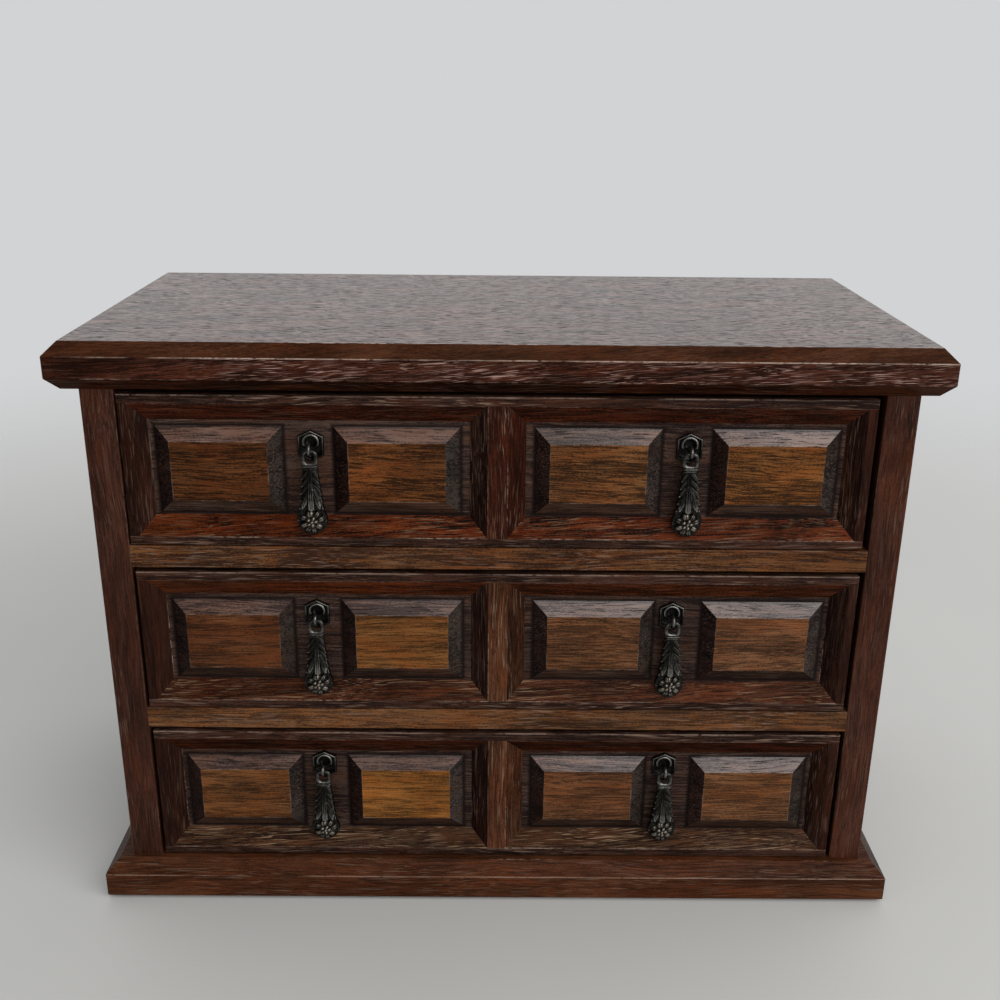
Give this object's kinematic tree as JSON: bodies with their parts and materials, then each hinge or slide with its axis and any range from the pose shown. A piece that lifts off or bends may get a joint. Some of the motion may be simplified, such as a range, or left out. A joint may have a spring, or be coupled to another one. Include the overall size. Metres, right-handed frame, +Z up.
{
  "type": "musical jewelry box",
  "caption": "Wooden chest of shallow drawers for jewellery, with panelled fronts, metal drop pulls and a wind-up musical movement behind the top drawer.",
  "frame": {"origin": "middle of the base board's underside", "axes": "+X across the chest to its right as seen from the front, +Y from the drawer fronts to the back, +Z up"},
  "size_m": [0.2924, 0.1616, 0.2106],
  "materials": {
    "stained_walnut": "open-grained wood, stained dark walnut, satin lacquer rubbed through a little on the edges",
    "plain_wood": "unstained, sanded",
    "velvet": "short-pile velvet",
    "blackened_metal": "cast zinc alloy, blackened, worn bright on the high spots",
    "plated_casting": "cast zinc alloy, satin nickel plate",
    "plated_steel": "nickel plate",
    "polished_steel": "polished",
    "blued_steel": "tempered blue",
    "yellow_brass": "machined"
  },
  "bodies": {
    "cabinet": {"top_board": "stained_walnut", "base_board": "stained_walnut", "left_side_panel": "stained_walnut", "right_side_panel": "stained_walnut", "upper_rail": "stained_walnut", "lower_rail": "stained_walnut", "back_panel": "plain_wood", "upper_dust_panel": "plain_wood", "lower_dust_panel": "plain_wood", "drawer_stops": "plain_wood", "movement_bedplate": "plated_casting", "spring_housing": "plated_steel", "mainspring": "blued_steel", "tone_comb": "polished_steel", "governor_bracket": "plated_steel", "movement_screws": "polished_steel", "mounting_screws": "polished_steel"},
    "bottom_drawer": {"bottom_drawer_front": "stained_walnut", "bottom_drawer_frame": "stained_walnut", "bottom_drawer_fields": "stained_walnut", "bottom_drawer_left_side": "plain_wood", "bottom_drawer_right_side": "plain_wood", "bottom_drawer_back": "plain_wood", "bottom_drawer_bottom": "plain_wood", "bottom_drawer_lining": "velvet", "bottom_pull_plates": "blackened_metal", "bottom_pull_staples": "blackened_metal"},
    "bottom_left_pendant": {"bottom_left_pendant": "blackened_metal"},
    "bottom_right_pendant": {"bottom_right_pendant": "blackened_metal"},
    "middle_drawer": {"middle_drawer_front": "stained_walnut", "middle_drawer_frame": "stained_walnut", "middle_drawer_fields": "stained_walnut", "middle_drawer_left_side": "plain_wood", "middle_drawer_right_side": "plain_wood", "middle_drawer_back": "plain_wood", "middle_drawer_bottom": "plain_wood", "middle_drawer_lining": "velvet", "middle_pull_plates": "blackened_metal", "middle_pull_staples": "blackened_metal"},
    "middle_left_pendant": {"middle_left_pendant": "blackened_metal"},
    "middle_right_pendant": {"middle_right_pendant": "blackened_metal"},
    "top_drawer": {"top_drawer_front": "stained_walnut", "top_drawer_frame": "stained_walnut", "top_drawer_fields": "stained_walnut", "top_drawer_left_side": "plain_wood", "top_drawer_right_side": "plain_wood", "top_drawer_back": "plain_wood", "top_drawer_bottom": "plain_wood", "top_drawer_lining": "velvet", "top_pull_plates": "blackened_metal", "top_pull_staples": "blackened_metal"},
    "top_left_pendant": {"top_left_pendant": "blackened_metal"},
    "top_right_pendant": {"top_right_pendant": "blackened_metal"},
    "winding_train": {"drive_gear": "yellow_brass", "winding_arbor": "polished_steel", "winding_key": "plated_steel"},
    "cylinder": {"music_cylinder": "yellow_brass"},
    "governor": {"governor_wheel": "yellow_brass"},
    "fly": {"air_brake": "yellow_brass"},
    "stop_lever": {"stop_lever": "polished_steel"}
  },
  "joints": [
    {"name": "bottom_drawer_slide", "type": "slide", "parent": "cabinet", "child": "bottom_drawer", "axis": [0, -1, 0], "range_m": [0, 0.095]},
    {"name": "bottom_left_pull_swing", "type": "hinge", "parent": "bottom_drawer", "child": "bottom_left_pendant", "pos_m": [-0.0633, -0.06592, 0.0527], "axis": [-1, 0, 0], "range_deg": [0, 150]},
    {"name": "bottom_right_pull_swing", "type": "hinge", "parent": "bottom_drawer", "child": "bottom_right_pendant", "pos_m": [0.0611, -0.06592, 0.0527], "axis": [-1, 0, 0], "range_deg": [0, 150]},
    {"name": "middle_drawer_slide", "type": "slide", "parent": "cabinet", "child": "middle_drawer", "axis": [0, -1, 0], "range_m": [0, 0.095]},
    {"name": "middle_left_pull_swing", "type": "hinge", "parent": "middle_drawer", "child": "middle_left_pendant", "pos_m": [-0.0633, -0.06592, 0.1135], "axis": [-1, 0, 0], "range_deg": [0, 150]},
    {"name": "middle_right_pull_swing", "type": "hinge", "parent": "middle_drawer", "child": "middle_right_pendant", "pos_m": [0.0604, -0.06592, 0.1135], "axis": [-1, 0, 0], "range_deg": [0, 150]},
    {"name": "top_drawer_slide", "type": "slide", "parent": "cabinet", "child": "top_drawer", "axis": [0, -1, 0], "range_m": [0, 0.075]},
    {"name": "top_left_pull_swing", "type": "hinge", "parent": "top_drawer", "child": "top_left_pendant", "pos_m": [-0.0627, -0.06592, 0.1749], "axis": [-1, 0, 0], "range_deg": [0, 150]},
    {"name": "top_right_pull_swing", "type": "hinge", "parent": "top_drawer", "child": "top_right_pendant", "pos_m": [0.0627, -0.06592, 0.1749], "axis": [-1, 0, 0], "range_deg": [0, 150]},
    {"name": "key_turn", "type": "hinge", "parent": "cabinet", "child": "winding_train", "pos_m": [0, 0.06177, 0.1613], "axis": [0, 1, 0], "continuous": true},
    {"name": "cylinder_turn", "type": "hinge", "parent": "cabinet", "child": "cylinder", "pos_m": [0.0137, 0.04797, 0.1613], "axis": [1, 0, 0], "continuous": true},
    {"name": "governor_turn", "type": "hinge", "parent": "cabinet", "child": "governor", "pos_m": [0.0371, 0.04797, 0.1541], "axis": [1, 0, 0], "continuous": true},
    {"name": "fly_turn", "type": "hinge", "parent": "cabinet", "child": "fly", "pos_m": [0.0371, 0.04797, 0.14815], "axis": [1, 0, 0], "continuous": true},
    {"name": "stop_lever_swing", "type": "hinge", "parent": "cabinet", "child": "stop_lever", "pos_m": [0.0524, 0.04668, 0.14815], "axis": [0, 0, 1], "range_deg": [0, 12]}
  ],
  "couplings": [
    {"joint": "key_turn", "follows": "cylinder_turn", "ratio": -0.35},
    {"joint": "governor_turn", "follows": "cylinder_turn", "ratio": -3.5},
    {"joint": "fly_turn", "follows": "cylinder_turn", "ratio": 11.375},
    {"joint": "stop_lever_swing", "follows": "top_drawer_slide", "rad_per_m": 2.746}
  ]
}
